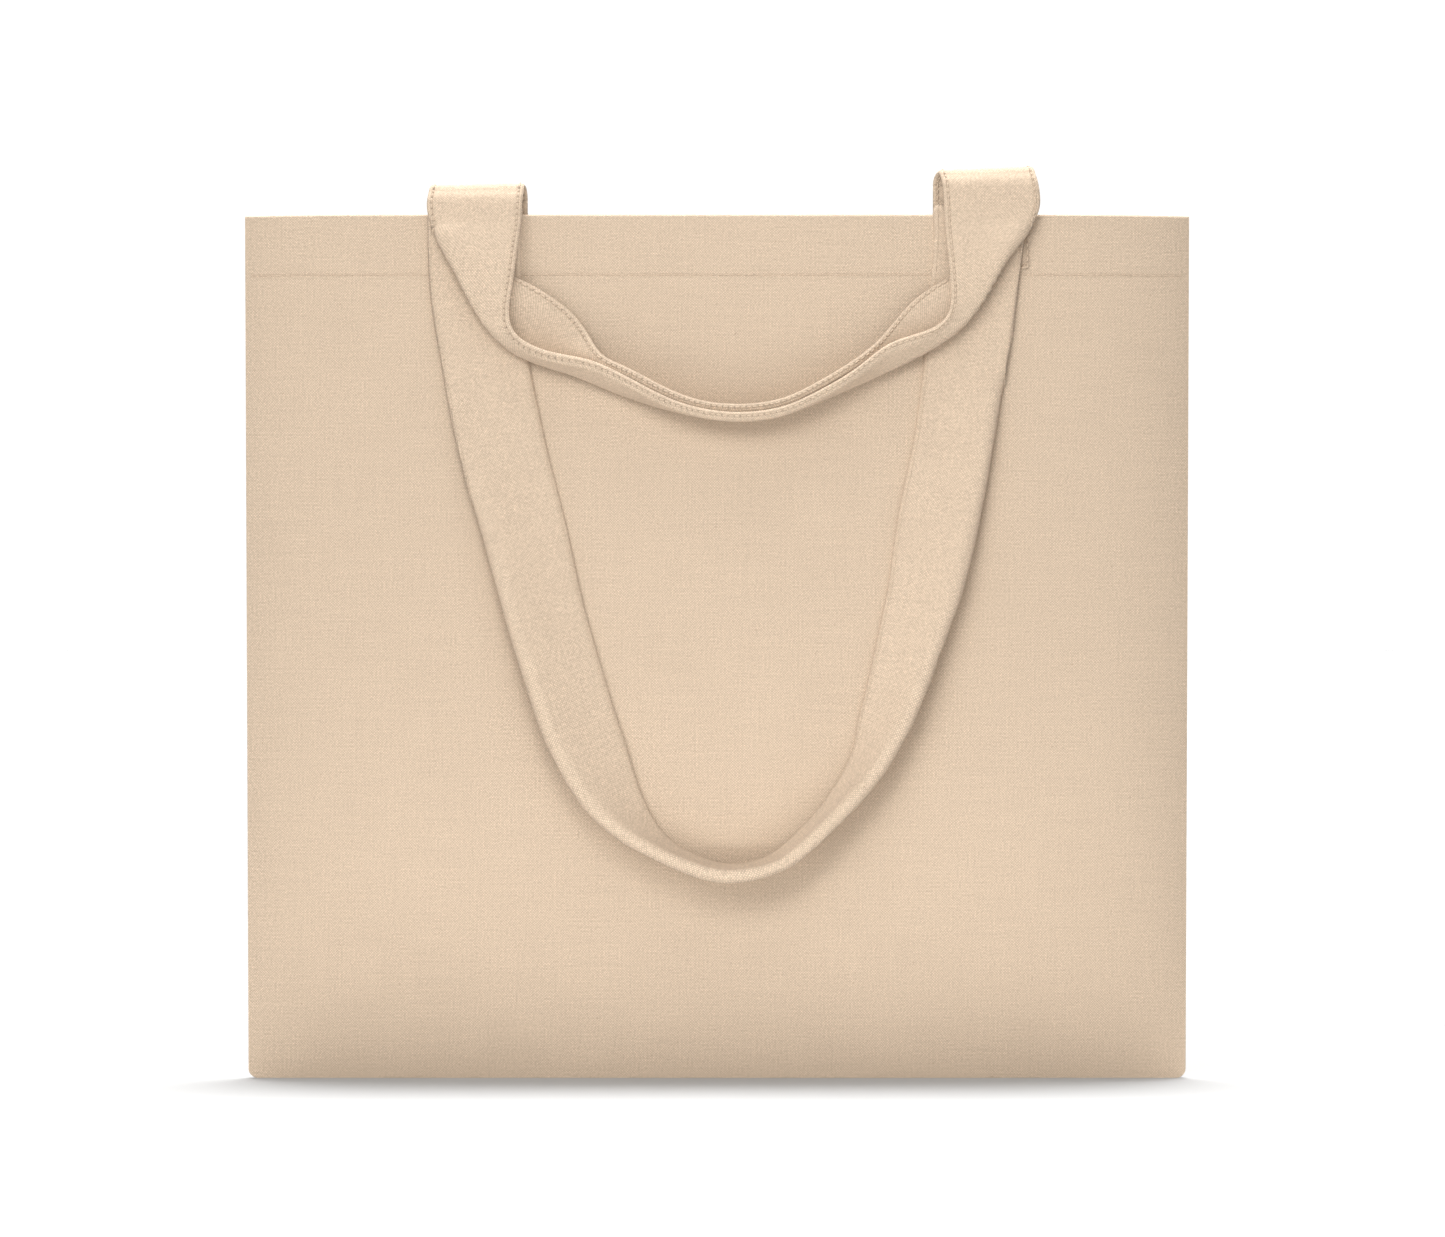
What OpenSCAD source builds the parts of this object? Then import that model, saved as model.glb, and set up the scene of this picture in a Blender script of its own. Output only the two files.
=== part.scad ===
// Canvas tote bag: two hemmed panels sewn at the sides and the bottom, and two folded
// canvas handles. Millimetres, +Z up, the front towards -Y, origin at the bottom centre.
// Places in the depth are given as d, the distance forwards of the flat back face.

/* [Bag] */
// Width of the bag at the top edge
bag_w = 400; // [380:1:420]
// How much narrower the bag is at the bottom
taper = 3; // [0:0.5:6]
// Height of the bag
bag_h = 365; // [355:1:375]
// Radius of the two bottom corners
corner_r = 4; // [2:0.5:8]
// Thickness of one layer of canvas
cloth = 1; // [0.8:0.1:1]
// Depth of the turned hem at the top edge
hem_h = 25; // [20:1:28]
// How far the front panel stands off the back panel
bow = 13.9; // [13.9:0.1:14]
// Height over which the front panel swells out from the bottom seam
bow_rise = 120; // [100:5:140]

/* [Seams] */
// Width of the seam allowances inside the bag
allowance = 8; // [6:0.5:9]
// Thickness of a folded seam allowance
allowance_t = 1.6; // [1.2:0.1:1.6]
// Width of a row of stitches
stitch_w = 1; // [0.8:0.1:1.2]
// How far a row of stitches stands off the cloth
stitch_t = 0.2; // [0.2:0.05:0.3]

/* [Handles] */
// Width of a handle
strap_w = 40; // [36:1:42]
// Thickness of a handle, which is folded canvas
strap_t = 2.2; // [2:0.1:2.2]
// Centre of the left-hand ends
left_x = -102; // [-106:1:-98]
// Centre of the right-hand ends
right_x = 113; // [110:1:118]
// Length of each handle's end that is sewn to a hem
tab_h = 25; // [20:1:25]
// How far the back handle is tucked down inside the mouth
tuck = 72; // [40:1:80]

/* [Hidden] */

CANVAS = [0.86, 0.79, 0.68];
CANVAS_IN = [0.80, 0.73, 0.62];
STRAP = [0.92, 0.85, 0.73];
THREAD = [0.95, 0.90, 0.80];

gap = 0.3;
half_w = bag_w / 2;
hem_z = bag_h - hem_h;

// Steps of the front panel's surface, across and up
columns = 36;
rows = 16;
// How far the turned hem of the back panel stops short of each side
hem_short = 5;
// How far stitches stand clear of a curved face
lift = 0.15;
front_in = cloth + gap + bow;
front_out = front_in + cloth;
front_hem_in = front_in - cloth;
back_hem_in = 2 * cloth;

// Where the seams are: the side ones from the sides, the bottom one from the bottom edge
seam_inset = 6;
seam_x = half_w - seam_inset;
seam_low = 26;
seam_top = hem_z - 1;
bottom_seam_z = 8;
bottom_seam_end = 178;

// Rows of stitches: above a hem's edge, in from a handle's edge, and round a tack
front_row_z = hem_z + 0.4;
back_row_z = hem_z + 1.4;
row_inset = 2.5;
tack_w = strap_w - 8;
tack_h = tab_h - 6;

// Folds of the two handles over the front edge
fold_d = front_out - cloth;
fold1_r = 1.5;
fold1_z = bag_h + 0.6;
fold2_r = 4.4;
fold2_z = bag_h + 9.4;
leg1_d = fold_d + fold1_r;
leg2_d = fold_d + fold2_r;

// The handles' ends inside the mouth, from the front hem back to the back hem
tab_d = front_hem_in - 0.65 - strap_t / 2;
front_tack_d = tab_d - strap_t / 2 - lift - stitch_t;
riser_d = fold_d - fold2_r - strap_t / 2;
riser_low_d = front_tack_d - 0.1 - strap_t / 2;
back_tab_d = back_hem_in + strap_t / 2;
back_turn_r = 0.5 + strap_t / 2;
back_turn_z = bag_h - 1.2;
back_tack_d = back_hem_in + strap_t;
tack_z = bag_h - tab_h / 2;

// The model's depth, which is centred on the origin
folded_depth = 17.8;
depth = leg2_d + folded_depth + lift + stitch_t;
back_y = depth / 2;

// Points along the long loop of the front handle: x, z, half width, thickness
FRONT_LOOP = [
  [left_x, 350, 20, 2.2], [-101, 330, 20, 2.2], [-97, 300, 20, 2.2], [-90, 262, 19, 2.2],
  [-82, 230, 18, 2.6], [-73, 195, 17, 4], [-64, 160, 15, 7], [-54, 132, 12, 11],
  [-38, 107, 8, 15], [-18, 92, 5, 18], [4, 88, 5, 18], [26, 94, 5, 18],
  [46, 109, 6, 17], [60, 127, 8, 14], [69, 144, 11, 10], [79, 178, 15, 6],
  [85, 203, 17, 3], [93, 237, 18, 2.2], [100, 270, 19, 2.2], [105, 300, 20, 2.2],
  [111, 330, 20, 2.2], [right_x, 350, 20, 2.2]
];

// Points along the short loop of the back handle: x, z, half width, thickness
BACK_LOOP = [
  [left_x, 362, 19, 2.2], [-99, 349, 15, 4], [-96, 335, 10, 8], [-92, 321, 7, 13],
  [-82, 310, 6, 17], [-63, 302, 6, 17.8], [-37, 293, 5, 17.8], [-10, 283, 5, 17.8],
  [12, 280, 5, 17.8], [35, 287, 5, 17.8], [56, 297, 6, 17.8], [73, 306, 7, 17],
  [91, 312, 7, 15], [102, 320, 7, 12], [108, 333, 9, 8], [112, 348, 14, 4],
  [right_x, 362, 19, 2.2]
];

// A point from its x, its depth and its height
function at(x, d, z) = [x, back_y - d, z];

// Half the bag's width at a height, with the round bottom corners
function half_at(z) =
  half_w - taper / 2 * (1 - z / bag_h)
  - (z < corner_r ? corner_r - sqrt(corner_r * corner_r - pow(corner_r - z, 2)) : 0);

// How far the front panel stands out: s runs from -1 to 1 across the bag
function swell(s, z) =
  bow * (1 - pow(abs(s), 8)) * (1 - pow(1 - min(z / bow_rise, 1), 4));

// Faces of a tube of n rings with m points each, closed at both ends
function tube_faces(n, m) = concat(
  [[for (k = [0 : m - 1]) k]],
  [for (i = [0 : n - 2]) for (k = [0 : m - 1])
    [i * m + k, (i + 1) * m + k, (i + 1) * m + (k + 1) % m, i * m + (k + 1) % m]],
  [[for (k = [m - 1 : -1 : 0]) (n - 1) * m + k]]
);

// A value part way between the second and third of four, on a smooth curve
function smooth(a, b, c, e, t) =
  0.5 * (2 * b + (c - a) * t + (2 * a - 5 * b + 4 * c - e) * t * t
  + (3 * b - a - 3 * c + e) * t * t * t);

// A smooth list through the given points, with a number of steps between each two
function through(p, steps) = concat(
  [for (i = [0 : len(p) - 2]) for (k = [0 : steps - 1])
    smooth(p[max(i - 1, 0)], p[i], p[i + 1], p[min(i + 2, len(p) - 1)], k / steps)],
  [p[len(p) - 1]]
);

// Stations of a strap: x, d and z of its inner face, half width, thickness and the
// direction of its outer face, which is 0 forwards, 90 up and 180 backwards
function fold(x, z, r, angles) = [
  for (a = angles) [x, fold_d + r * cos(a), z + r * sin(a), strap_w / 2, strap_t, a]
];
function legs(points, d) = [
  for (p = through(points, 3)) [p[0], d, p[1], p[2], p[3], 0]
];
function loop1() = concat(
  fold(left_x, fold1_z, fold1_r, [85, 60, 30, 0]),
  legs(FRONT_LOOP, leg1_d),
  fold(right_x, fold1_z, fold1_r, [0, 30, 60, 85])
);
function loop2() = concat(
  fold(left_x, fold2_z, fold2_r, [180 : -20 : 0]),
  legs(BACK_LOOP, leg2_d),
  fold(right_x, fold2_z, fold2_r, [0 : 20 : 180])
);

function middle(s) = [s[0], s[1] + s[4] / 2 * cos(s[5]), s[2] + s[4] / 2 * sin(s[5])];
function unit(v) = v / norm(v);

// One ring of a strap: lateral limits a and b, and limits f and g across its thickness
function ring(st, i, a, b, f, g) =
  let (s = st[i])
  let (t = middle(st[min(i + 1, len(st) - 1)]) - middle(st[max(i - 1, 0)]))
  let (n = [0, cos(s[5]), sin(s[5])])
  let (side = unit(cross(t, n)))
  let (c = [s[0], s[1], s[2]])
  [for (q = [c + a * side + f * n, c + b * side + f * n,
             c + b * side + g * n, c + a * side + g * n]) at(q[0], q[1], q[2])];

// A strap along its stations
module strap(st) {
  points = [for (i = [0 : len(st) - 1]) each ring(st, i, -st[i][3], st[i][3], 0, st[i][4])];
  polyhedron(points, tube_faces(len(st), 4), convexity = 6);
}

// A row of stitches on a strap's outer face, inset from its left (-1) or right (1) edge
module strap_row(st, side) {
  points = [
    for (i = [0 : len(st) - 1])
      let (mid = side * (st[i][3] - row_inset))
      let (face = st[i][4] + lift)
      each ring(st, i, mid - stitch_w / 2, mid + stitch_w / 2, face, face + stitch_t)
  ];
  polyhedron(points, tube_faces(len(st), 4), convexity = 6);
}

// A band of one thickness that follows a path of [d, z] points, as wide as a strap
module band(x, path) {
  n = len(path);
  sides = [
    for (i = [0 : n - 1])
      let (t = unit(path[min(i + 1, n - 1)] - path[max(i - 1, 0)]))
      strap_t / 2 * [-t[1], t[0]]
  ];
  outline = concat(
    [for (i = [0 : n - 1]) path[i] + sides[i]],
    [for (i = [n - 1 : -1 : 0]) path[i] - sides[i]]
  );
  translate([x - strap_w / 2, back_y, 0])
    rotate([90, 0, 90])
      linear_extrude(strap_w)
        polygon([for (p = outline) [-p[0], p[1]]]);
}

// A box from its two corners, given as x, d and z
module block(a, b) {
  translate(at(a[0], b[1], a[2]))
    cube([b[0] - a[0], b[1] - a[1], b[2] - a[2]]);
}

// A box-and-cross tack: a frame and two diagonals, in front of the depth d
module tack(x, d, z) {
  open_w = tack_w - 2 * stitch_w;
  open_h = tack_h - 2 * stitch_w;
  slope = atan2(open_h, open_w);
  reach = norm([open_w, open_h]);
  translate([x, back_y - d, z])
    rotate([90, 0, 0])
      linear_extrude(stitch_t)
        union() {
          difference() {
            square([tack_w, tack_h], center = true);
            square([open_w, open_h], center = true);
          }
          rotate(slope) square([reach, stitch_w], center = true);
          rotate(-slope) square([reach, stitch_w], center = true);
        }
}

// The back panel lies flat, with its hem turned inwards
module back_panel() {
  hem_w = half_w - hem_short;
  color(CANVAS)
    union() {
      translate([0, back_y, 0])
        rotate([90, 0, 0])
          linear_extrude(cloth)
            polygon(concat(
              [for (a = [0 : 15 : 90]) let (z = corner_r * (1 - cos(a))) [half_at(z), z]],
              [[half_w, bag_h], [-half_w, bag_h]],
              [for (a = [90 : -15 : 0]) let (z = corner_r * (1 - cos(a))) [-half_at(z), z]]
            ));
      block([-hem_w, cloth / 2, hem_z], [hem_w, back_hem_in, bag_h]);
    }
}

// The front panel swells out between the seams, and is twice as thick in its hem
module front_panel() {
  zs = concat(
    [for (j = [0 : rows]) hem_z * pow(j / rows, 1.5)],
    [hem_z + 0.5, bag_h]
  );
  n = len(zs);
  m = columns + 1;
  grid = [
    for (side = [0, 1]) for (j = [0 : n - 1]) for (i = [0 : columns])
      let (s = sin(180 * i / columns - 90))
      let (inner = cloth + gap + swell(s, zs[j]))
      let (hem = zs[j] > hem_z ? min(cloth, swell(s, zs[j])) : 0)
      at(s * half_at(zs[j]), side == 0 ? inner - hem : inner + cloth, zs[j])
  ];
  size = n * m;
  faces = concat(
    [for (j = [0 : n - 2]) for (i = [0 : columns - 1])
      [j * m + i, j * m + i + 1, (j + 1) * m + i + 1, (j + 1) * m + i]],
    [for (j = [0 : n - 2]) for (i = [0 : columns - 1])
      [size + j * m + i, size + (j + 1) * m + i, size + (j + 1) * m + i + 1, size + j * m + i + 1]],
    [for (j = [0 : n - 2])
      [j * m, (j + 1) * m, size + (j + 1) * m, size + j * m]],
    [for (j = [0 : n - 2])
      [j * m + columns, size + j * m + columns, size + (j + 1) * m + columns, (j + 1) * m + columns]],
    [for (i = [0 : columns - 1])
      [i, size + i, size + i + 1, i + 1]],
    [for (i = [0 : columns - 1]) let (k = (n - 1) * m + i)
      [k, k + 1, size + k + 1, size + k]]
  );
  color(CANVAS) polyhedron(grid, faces, convexity = 6);
}

// The seam allowances lie against the back panel, inside
module side_seam(side) {
  a = side < 0 ? -seam_x : seam_x - allowance;
  block([a, cloth, seam_low], [a + allowance, cloth + allowance_t, seam_top]);
}
module left_side_seam() { color(CANVAS_IN) side_seam(-1); }
module right_side_seam() { color(CANVAS_IN) side_seam(1); }

module bottom_seam() {
  a = [-bottom_seam_end, cloth, bottom_seam_z];
  b = [bottom_seam_end, cloth + allowance_t, bottom_seam_z + allowance];
  color(CANVAS_IN) block(a, b);
}

// Overlock thread wraps the raw edge of each allowance
module side_overlock(side) {
  edge = side < 0 ? -seam_x + allowance : seam_x - allowance - stitch_w;
  block([edge, cloth, seam_low], [edge + stitch_w, cloth + allowance_t + stitch_t, seam_top]);
}
module left_seam_overlock() { color(THREAD) side_overlock(-1); }
module right_seam_overlock() { color(THREAD) side_overlock(1); }
module bottom_seam_overlock() {
  z = bottom_seam_z + allowance;
  a = [-bottom_seam_end, cloth, z];
  b = [bottom_seam_end, cloth + allowance_t + stitch_t, z + stitch_w];
  color(THREAD) block(a, b);
}

// The row of stitches across the front, along the hem's edge
module front_hem_stitching() {
  ends = 2;
  points = [
    for (i = [ends : columns - ends])
      let (s = sin(180 * i / columns - 90))
      let (x = s * half_at(front_row_z))
      let (d = cloth + gap + swell(s, front_row_z) + cloth + lift)
      each [
        at(x, d, front_row_z), at(x, d + stitch_t, front_row_z),
        at(x, d + stitch_t, front_row_z + stitch_w), at(x, d, front_row_z + stitch_w)
      ]
  ];
  color(THREAD) polyhedron(points, tube_faces(columns - 2 * ends + 1, 4), convexity = 6);
}

// The same inside the back panel, in three runs between the handle's ends
module back_hem_stitching() {
  side = strap_w / 2 + 1;
  ends = [
    [-half_w + hem_short + 1, left_x - side],
    [left_x + side, right_x - side],
    [right_x + side, half_w - hem_short - 1]
  ];
  color(THREAD)
    for (e = ends)
      block([e[0], back_hem_in, back_row_z], [e[1], back_hem_in + stitch_t, back_row_z + stitch_w]);
}

module front_handle() { color(STRAP) strap(loop1()); }
module back_handle() { color(STRAP) strap(loop2()); }

module front_handle_edge_stitching() {
  color(THREAD) strap_row(loop1(), -1);
  color(THREAD) strap_row(loop1(), 1);
}
module back_handle_edge_stitching() {
  color(THREAD) strap_row(loop2(), -1);
  color(THREAD) strap_row(loop2(), 1);
}

// The end sewn inside the front hem, up to the top of the fold
module front_end(x) {
  r = fold1_r + strap_t / 2;
  band(x, concat(
    [[tab_d, bag_h - tab_h], [tab_d, fold1_z]],
    [for (a = [160 : -10 : 100]) [fold_d + r * cos(a), fold1_z + r * sin(a)]]
  ));
}
module front_handle_left_end() { color(STRAP) front_end(left_x); }
module front_handle_right_end() { color(STRAP) front_end(right_x); }

// The part that rises inside the mouth behind the front panel
module riser(x) {
  band(x, [
    [riser_low_d, bag_h - tuck],
    [riser_low_d, bag_h - 6],
    [riser_d, bag_h + 3],
    [riser_d, fold2_z - gap]
  ]);
}
module back_handle_left_riser() { color(STRAP) riser(left_x); }
module back_handle_right_riser() { color(STRAP) riser(right_x); }

// The end sewn inside the back hem, which turns down into the mouth
module back_end(x) {
  mid_d = back_tab_d + back_turn_r;
  band(x, concat(
    [[back_tab_d, bag_h - tab_h], [back_tab_d, back_turn_z - 0.5]],
    [for (a = [180 : -15 : 0]) [mid_d + back_turn_r * cos(a), back_turn_z + back_turn_r * sin(a)]],
    [[mid_d + back_turn_r, back_turn_z - 0.5], [mid_d + back_turn_r, bag_h - tuck]]
  ));
}
module back_handle_left_end() { color(STRAP) back_end(left_x); }
module back_handle_right_end() { color(STRAP) back_end(right_x); }

module front_handle_left_tack() { color(THREAD) tack(left_x, front_tack_d, tack_z); }
module front_handle_right_tack() { color(THREAD) tack(right_x, front_tack_d, tack_z); }
module back_handle_left_tack() { color(THREAD) tack(left_x, back_tack_d, tack_z); }
module back_handle_right_tack() { color(THREAD) tack(right_x, back_tack_d, tack_z); }

back_panel();
front_panel();
left_side_seam();
right_side_seam();
bottom_seam();
left_seam_overlock();
right_seam_overlock();
bottom_seam_overlock();
front_hem_stitching();
back_hem_stitching();
front_handle();
front_handle_left_end();
front_handle_right_end();
back_handle();
back_handle_left_riser();
back_handle_right_riser();
back_handle_left_end();
back_handle_right_end();
front_handle_edge_stitching();
back_handle_edge_stitching();
front_handle_left_tack();
front_handle_right_tack();
back_handle_left_tack();
back_handle_right_tack();
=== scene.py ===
"""A canvas tote bag, empty and upright, with its two handles folded over the front."""
import math

import bpy
import numpy as np
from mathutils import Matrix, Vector, noise


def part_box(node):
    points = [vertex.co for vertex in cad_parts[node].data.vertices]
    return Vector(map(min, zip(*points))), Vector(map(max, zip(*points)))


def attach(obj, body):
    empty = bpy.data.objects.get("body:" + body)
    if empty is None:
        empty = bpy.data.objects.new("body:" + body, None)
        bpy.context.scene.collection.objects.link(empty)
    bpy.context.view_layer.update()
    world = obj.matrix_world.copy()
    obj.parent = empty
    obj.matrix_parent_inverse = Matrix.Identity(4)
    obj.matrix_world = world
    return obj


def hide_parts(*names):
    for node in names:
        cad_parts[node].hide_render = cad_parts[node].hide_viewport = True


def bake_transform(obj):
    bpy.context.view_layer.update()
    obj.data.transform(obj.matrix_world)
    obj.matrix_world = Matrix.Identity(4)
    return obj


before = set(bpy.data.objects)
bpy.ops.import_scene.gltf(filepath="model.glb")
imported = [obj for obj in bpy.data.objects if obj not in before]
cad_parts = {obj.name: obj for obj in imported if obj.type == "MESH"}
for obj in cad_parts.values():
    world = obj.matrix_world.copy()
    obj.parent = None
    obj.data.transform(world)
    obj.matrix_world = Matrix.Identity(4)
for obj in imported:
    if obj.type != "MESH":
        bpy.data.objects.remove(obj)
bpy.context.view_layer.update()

# ---------------------------------------------------------------- dimensions, in millimetres
# d is a depth: how far a point stands in front of the back panel's outer face
MM = 0.001
BACK_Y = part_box("back_panel")[1].y / MM
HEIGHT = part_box("back_panel")[1].z / MM
HALF_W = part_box("back_panel")[1].x / MM
TAPER = 1.5                     # how much narrower each half is at the bottom
CORNER = 4.0                    # radius of the bottom corners
CLOTH = 1.0
HEM = 25.0
HEM_Z = HEIGHT - HEM
HEM_ROW = HEM_Z - 0.4           # height of the hem's row of stitches
TOP_ROUND = 1.0                 # height of the rounded top fold of a panel
ROW_STEP = 2.2                  # distance between a panel's rows of vertices
GAP = 0.3                       # between the two panels where they meet
BOW = 13.9                      # how far the front panel bows out
BOW_RISE = 120.0                # the height by which it has
FRONT_OUT = 2 * CLOTH + GAP + BOW
FRONT_HEM_IN = FRONT_OUT - 2 * CLOTH
EDGE_D = FRONT_OUT - CLOTH      # depth of the middle of the front hem, which the handles fold over
LEFT_X = -102.0                 # the middles of the front handle's ends and of the tacks
RIGHT_X = 113.0
STRAP_W = 40.0
STRAP_T = 2.2
STRAP_V = 40.0                  # where a strap's cloth map starts
SEW_ROW = 2.0                   # from a strap's edge to its row of stitches
STITCH = 2.6
STEP = STITCH / 2
THREAD_R = 0.34
GAP_SHADE_W = 0.8                    # half width of the painted shade in the gaps between a strap's stitches
GAP_SHADE_AT = 1.82                  # the first painted gap between stitches, in steps from the strap's start


def place(x, d, z):
    """A point from its x, its depth in front of the back face and its height."""
    return np.stack(np.broadcast_arrays(x, BACK_Y - np.asarray(d, float), z), -1) * MM


def point(x, d, z):
    return Vector((x * MM, (BACK_Y - d) * MM, z * MM))


# ---------------------------------------------------------------- camera
VIEW_W = 612.3                  # width seen at VIEW_AT, in millimetres
VIEW_AT = point(2.3, 1.8, 194.6)
VIEW_FAR = 3.0                  # the camera's distance, in metres
SENSOR_W = 36


def make_camera():
    """Square on to the front, from far away."""
    data = bpy.data.cameras.new("camera")
    data.sensor_width = SENSOR_W
    data.lens = SENSOR_W * VIEW_FAR / (VIEW_W * MM)
    data.clip_end = 100
    cam = bpy.data.objects.new("camera", data)
    bpy.context.collection.objects.link(cam)
    cam.location = VIEW_AT + Vector((0, -VIEW_FAR, 0))
    cam.rotation_euler = (math.pi / 2, 0, 0)
    bpy.context.scene.camera = cam


# ---------------------------------------------------------------- materials
class Nodes:
    """Adds nodes to a material or a world and joins them."""

    def __init__(self, owner):
        owner.use_nodes = True
        self.tree = owner.node_tree
        self.tree.nodes.clear()

    def add(self, kind, inputs=(), **settings):
        node = self.tree.nodes.new(kind)
        for key, value in settings.items():
            setattr(node, key, value)
        for key, value in dict(inputs).items():
            self.put(node.inputs[key], value)
        return node

    def put(self, socket, value):
        if isinstance(value, bpy.types.NodeSocket):
            self.tree.links.new(value, socket)
        else:
            socket.default_value = value

    def math(self, operation, a, b=0.0, c=0.0):
        node = self.add("ShaderNodeMath", {0: a, 1: b, 2: c}, operation=operation)
        return node.outputs[0]

    def vector(self, x, y, z=0.0):
        return self.add("ShaderNodeCombineXYZ", {0: x, 1: y, 2: z}).outputs[0]

    def noise(self, vector, scale, detail=2.0):
        node = self.add("ShaderNodeTexNoise", {"Vector": vector, "Scale": scale, "Detail": detail})
        return node.outputs[0]

    def level(self, value, low, high):
        """A 0 to 1 value as one from low to high."""
        node = self.add("ShaderNodeMapRange", {0: value, 3: low, 4: high})
        return node.outputs[0]

    def mix(self, factor, a, b):
        node = self.add("ShaderNodeMix", data_type="RGBA")
        self.put(node.inputs[0], factor)
        self.put(node.inputs[6], a)
        self.put(node.inputs[7], b)
        return node.outputs[2]

    def surface(self, inputs):
        """The material's shader and its output."""
        shader = self.add("ShaderNodeBsdfPrincipled", inputs)
        self.add("ShaderNodeOutputMaterial", {0: shader.outputs[0]})


def stitch_gap_shade(n, u, v, depth):
    """Painted shade in the gaps between the stitches of a strap's two sewn rows, where the thread dives
    into the cloth, as a factor for its colour.
    """
    from_row = n.math("ABSOLUTE", n.math("SUBTRACT", n.math("ABSOLUTE", u), STRAP_W / 2 - SEW_ROW))
    near = n.math("MAXIMUM", n.math("MULTIPLY_ADD", from_row, -1 / GAP_SHADE_W, 1.0), 0.0)
    turn = n.math("MULTIPLY", n.math("SUBTRACT", v, STRAP_V + GAP_SHADE_AT * STEP), 2 * math.pi / STITCH)
    gap = n.math("POWER", n.math("MULTIPLY_ADD", n.math("COSINE", turn), 0.5, 0.5), 3.0)
    return n.math("MULTIPLY_ADD", n.math("MULTIPLY", near, gap), -depth, 1.0)


YARN = 0.55                     # distance between yarns
WANDER = 1.6                    # how far the yarns stray
FLECK = (0.22, 0.14, 0.08, 1)   # bits of seed husk


def canvas_material(name, colour, deep, seed=0.0, gap_shade=0.0):
    """Plain-weave cotton canvas on a UV map in millimetres; the last argument is how dark the painted
    shade in the gaps between a strap's stitches is.
    """
    material = bpy.data.materials.new(name)
    n = Nodes(material)
    uv = n.add("ShaderNodeUVMap", uv_map="cloth").outputs[0]
    split = n.add("ShaderNodeSeparateXYZ", {0: uv})
    stray = n.add("ShaderNodeTexNoise", {"Vector": uv, "Scale": 0.11, "Detail": 3.0})
    drift = n.add("ShaderNodeSeparateXYZ", {0: stray.outputs[1]})
    u = n.math("MULTIPLY_ADD", drift.outputs[0], WANDER, split.outputs[0])
    v = n.math("MULTIPLY_ADD", drift.outputs[1], WANDER, split.outputs[1])

    # The weave: warp and weft cross over each other like the squares of a chessboard
    su = n.math("SINE", n.math("MULTIPLY", u, math.pi / YARN))
    sv = n.math("SINE", n.math("MULTIPLY", v, math.pi / YARN))
    a = n.math("ABSOLUTE", su)
    b = n.math("ABSOLUTE", sv)
    over = n.math("GREATER_THAN", n.math("MULTIPLY", su, sv), 0.0)
    warp = n.math("MULTIPLY", n.math("POWER", a, 0.7), n.math("POWER", b, 0.3))
    weft = n.math("MULTIPLY", n.math("POWER", a, 0.3), n.math("POWER", b, 0.7))
    weave = n.add("ShaderNodeMix", data_type="FLOAT")
    n.put(weave.inputs[0], over)
    n.put(weave.inputs[2], weft)
    n.put(weave.inputs[3], warp)
    height = weave.outputs[0]

    # Thick and thin yarns each way, fuzz, and slow changes over the whole cloth
    picks = n.noise(n.vector(n.math("MULTIPLY", u, 0.03), n.math("MULTIPLY", v, 1.1), seed), 1.0, 3.0)
    ends = n.noise(n.vector(n.math("MULTIPLY", u, 1.1), n.math("MULTIPLY", v, 0.03), seed), 1.0, 3.0)
    grain = n.noise(n.vector(u, v, seed), 1.1, 3.0)
    cloud = n.noise(n.vector(u, v, seed), 0.018, 3.0)
    # Painted shade: the weave's low parts between yarns are painted darker, and the cells where the weft
    # lies over are painted lighter than those where the warp does; the thick and thin yarns, fuzz and slow
    # changes multiplied in after are the cloth's own tone
    shade_and_tone = n.level(height, 0.60, 1.16)
    for value, low, high in ((over, 1.12, 0.87), (picks, 0.91, 1.09), (ends, 0.94, 1.06),
                             (grain, 0.70, 1.30), (cloud, 0.975, 1.025)):
        shade_and_tone = n.math("MULTIPLY", shade_and_tone, n.level(value, low, high))
    # painted shade in the gaps between the stitches of the sewn rows
    if gap_shade:
        shade_and_tone = n.math("MULTIPLY", shade_and_tone, stitch_gap_shade(n, split.outputs[0], split.outputs[1], gap_shade))
    tone = n.mix(n.level(grain, 0.0, 1.0), deep, colour)
    tint = n.add("ShaderNodeVectorMath", {0: tone}, operation="SCALE")
    n.put(tint.inputs[3], shade_and_tone)

    # A small fleck near the middle of one cell in ten
    cells = n.add("ShaderNodeTexVoronoi", {"Vector": uv, "Scale": 0.12}, voronoi_dimensions="2D")
    pick = n.add("ShaderNodeSeparateXYZ", {0: cells.outputs[1]}).outputs[0]
    near = n.math("LESS_THAN", cells.outputs[0], 0.035)
    rare = n.math("GREATER_THAN", pick, 0.9)
    spot = n.math("MULTIPLY", n.math("MULTIPLY", near, rare), 0.4)
    final = n.mix(spot, tint.outputs[0], FLECK)

    relief = n.math("MULTIPLY_ADD", n.math("ADD", picks, ends), 0.8, height)
    bump = n.add("ShaderNodeBump", {"Strength": 0.55, "Distance": 0.00016, "Height": relief})
    n.surface({"Base Color": final, "Roughness": 0.92, "Specular IOR Level": 0.18,
               "Sheen Weight": 0.12, "Sheen Roughness": 0.5, "Normal": bump.outputs[0]})
    return material


def thread_material(name, colour, dark):
    """Twisted cotton thread: fine slanted ridges with a little colour change."""
    material = bpy.data.materials.new(name)
    n = Nodes(material)
    where = n.add("ShaderNodeTexCoord").outputs[3]
    twist = n.add("ShaderNodeTexWave", {"Vector": where, "Scale": 900.0, "Distortion": 1.5},
                  bands_direction="DIAGONAL").outputs[1]
    fuzz = n.noise(where, 2600.0, 3.0)
    tone = n.mix(n.level(n.math("MULTIPLY", twist, fuzz), 0.0, 1.6), dark, colour)
    bump = n.add("ShaderNodeBump", {"Strength": 0.5, "Distance": 0.00008, "Height": twist})
    n.surface({"Base Color": tone, "Roughness": 0.75, "Specular IOR Level": 0.3,
               "Sheen Weight": 0.1, "Sheen Roughness": 0.4, "Normal": bump.outputs[0]})
    return material


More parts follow.
